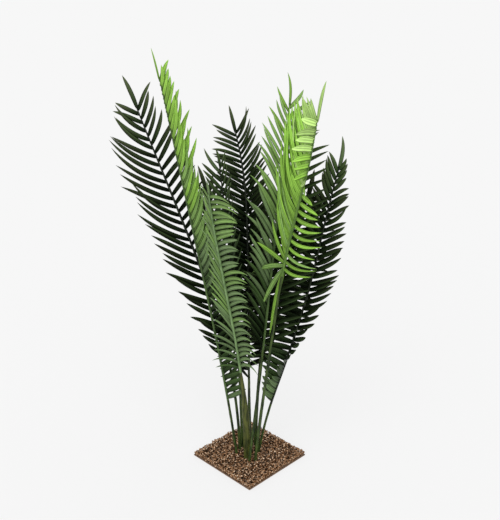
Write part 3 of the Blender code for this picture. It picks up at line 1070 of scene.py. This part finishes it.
def build_bark_tree():
    tree, inputs, end = shape_tree("bark", {
        "Material": "Material", "Lumps": "Collection", "Side": "Float", "Floor": "Float", "Top": "Float",
        "Seed": "Int"})

    def random_between(low, high, offset, kind="FLOAT"):
        """A random value for each chip. The offset keeps the draws apart."""
        first, second, out = RANDOM_SOCKETS[kind]
        sockets = {first: low, second: high, "Seed": inputs["Seed"] + offset}
        return tree.node("FunctionNodeRandomValue", {"data_type": kind}, sockets, out=out)

    def kept_within(value, low, high):
        return tree.node("ShaderNodeClamp", {}, {0: value, 1: low, 2: high})

    pick = tree.node("GeometryNodeCollectionInfo", {"transform_space": "ORIGINAL"}, {
        0: inputs["Lumps"], "Separate Children": True, "Reset Children": True})
    tilt_low, tilt_high = (-CHIP_TILT, -CHIP_TILT, 0.0), (CHIP_TILT, CHIP_TILT, 2 * math.pi)
    chips = tree.node("GeometryNodeInstanceOnPoints", {}, {
        "Points": inputs["Geometry"], "Instance": pick, "Pick Instance": True,
        "Rotation": random_between(tilt_low, tilt_high, 1.0, "FLOAT_VECTOR"),
        "Scale": random_between(*CHIP_SCALES, 2.0)})
    chips = store(tree, chips, "shade", random_between(0.0, 1.0, 3.0))
    chips = tree.node("GeometryNodeRealizeInstances", {}, {0: chips})
    x, y, z = position(tree).parts()
    edge = inputs["Side"] * 0.5
    pressed = tree.node("ShaderNodeCombineXYZ", {}, {
        0: kept_within(x, edge * -1.0, edge), 1: kept_within(y, edge * -1.0, edge),
        2: kept_within(z, inputs["Floor"], inputs["Top"])})
    end(tree.node("GeometryNodeSetPosition", {}, {0: chips, "Position": pressed}))
    return tree


bark_tree = build_bark_tree()
print("the tree of the chips has", len(bark_tree.made.nodes), "nodes")

# %% [markdown]
# ### Where the chips lie
#
# The chips lie on a grid whose points are shaken, in three layers, and the heap swells and sinks a little
# from place to place. Closer rows run along the four sides, because a trimmed side shows no gaps.

# %% Places of the chips
CHIP_PITCH = 0.0088
LAYERS = (0.0062, 0.0094, 0.0122)
CHIP_SHAKE = 0.0045
CHIP_RISE = 0.0006
SWELL = 0.0016
SWELL_WAVES = (135.0, 118.0)
SWELL_STARTS = (1.0, 0.5)
RIM_CHIPS = 44
RIM_LAYERS = (0.0086, 0.0108)
RIM_INSET = (0.001, 0.007)
CHIP_SEED = 29


def swell(x, y):
    """How far the heap rises or sinks at a place."""
    along_x = math.sin(x * SWELL_WAVES[0] + SWELL_STARTS[0])
    along_y = math.cos(y * SWELL_WAVES[1] + SWELL_STARTS[1])
    return SWELL * along_x * along_y


def heap_spots(level, draw):
    count = round(base_side / CHIP_PITCH)
    spots = []
    for row in range(count):
        for column in range(count):
            x, y = ((cell + 0.5) / count * base_side - base_side / 2 for cell in (column, row))
            shake = [draw.uniform(-CHIP_SHAKE, CHIP_SHAKE) for _ in range(2)]
            rise = draw.uniform(-CHIP_RISE, CHIP_RISE) + swell(x, y)
            spots.append((x + shake[0], y + shake[1], level + rise))
    return spots


def rim_spots(level, draw):
    spots = []
    for quarter in range(4):
        for step in range(RIM_CHIPS):
            aside = ((step + draw.uniform(0.0, 1.0)) / RIM_CHIPS - 0.5) * base_side
            spot = Vector((aside, base_side / 2 - draw.uniform(*RIM_INSET), 0.0))
            spot.rotate(Euler((0.0, 0.0, quarter * math.pi / 2)))
            rise = draw.uniform(-CHIP_RISE, CHIP_RISE) + swell(spot.x, spot.y)
            spots.append((spot.x, spot.y, level + rise))
    return spots


chip_draw = random.Random(CHIP_SEED)
chip_spots = [spot for level in LAYERS for spot in heap_spots(level, chip_draw)]
chip_spots += [spot for level in RIM_LAYERS for spot in rim_spots(level, chip_draw)]
print(len(chip_spots), "chips")

# %% [markdown]
# ### Finish of the bark
#
# Bark is tan, pinkish and reddish brown, with a pale inner side. The shade of a chip picks among these,
# and a fine noise shifts it within the chip. Little light gets down between the chips, so they are painted
# darker with depth, a painted shade, except at the cut sides, where the light gets in.

# %% Finish of the chips
BARK_COLOURS = [
    (0.00, (0.012, 0.005, 0.002)), (0.25, (0.042, 0.016, 0.005)), (0.45, (0.180, 0.085, 0.036)),
    (0.66, (0.350, 0.195, 0.103)), (0.84, (0.560, 0.370, 0.235)), (1.00, (0.850, 0.720, 0.550))]
PATCH_SIZE = 420.0
PATCH_SHIFT = 0.5
SHADE_DROP = 0.20
CRUMB_SIZE = 900.0
CRUMB_HEIGHT = 0.0004
DEEP_SHADE = 0.05
RIM = 0.004
RIM_SKIN = 0.0005
RIM_LIGHT = 0.8
BOARD_CLEARANCE = 0.0002
SCATTER_SEED = 5


def bark_finish():
    material, tree, shader = finish("bark", Roughness=0.85, Specular_IOR_Level=0.08)
    shade = tree.carried("shade") + object_noise(tree, PATCH_SIZE, 3.0) * PATCH_SHIFT - SHADE_DROP
    x, y, height = object_place(tree).parts()
    # Painted shade: the deeper a chip lies, the darker it is painted, and the rim takes this back at the
    # cut sides.
    painted_depth_shade = tree.spread(height, LAYERS[0], LAYERS[-1], DEEP_SHADE, 1.0)
    outward = x.function("ABSOLUTE").function("MAXIMUM", y.function("ABSOLUTE"))
    rim = tree.spread(outward, base_side / 2 - RIM, base_side / 2 - RIM_SKIN, 0.0, RIM_LIGHT)
    painted_depth_shade = painted_depth_shade + (1.0 - painted_depth_shade) * rim
    feed(tree, shader, "Base Color", tree.ramp(BARK_COLOURS, shade) * painted_depth_shade)
    feed(tree, shader, "Normal", bump(tree, object_noise(tree, CRUMB_SIZE, 3.0), CRUMB_HEIGHT))
    return material


chips_low, chips_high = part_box("bark_chips")
bark = grow("bark", point_mesh("bark", chip_spots), bark_tree, {
    "Material": bark_finish(), "Lumps": lumps, "Side": base_side, "Floor": chips_low.z + BOARD_CLEARANCE,
    "Top": chips_high.z, "Seed": SCATTER_SEED})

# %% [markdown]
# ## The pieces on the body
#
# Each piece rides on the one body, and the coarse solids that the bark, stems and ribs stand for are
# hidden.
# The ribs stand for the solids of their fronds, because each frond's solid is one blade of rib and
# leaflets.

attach(bark, "root")
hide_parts("bark_chips")
for kind, piece in stem_pieces.items():
    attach(piece, "root")
    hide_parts(*["stem_" + frond.name for frond in FRONDS if stem_kind(frond) == kind])
for kind, piece in rib_pieces.items():
    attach(piece, "root")
    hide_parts(*["frond_" + frond.name for frond in FRONDS if rib_kind(frond) == kind])
for name, piece in leaf_pieces.items():
    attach(piece, "root")
print(1 + len(stem_pieces) + len(rib_pieces) + len(leaf_pieces), "pieces ride on the root")

# %% [markdown]
# The fine pieces must stay inside the packed model's box, apart from a few millimetres.
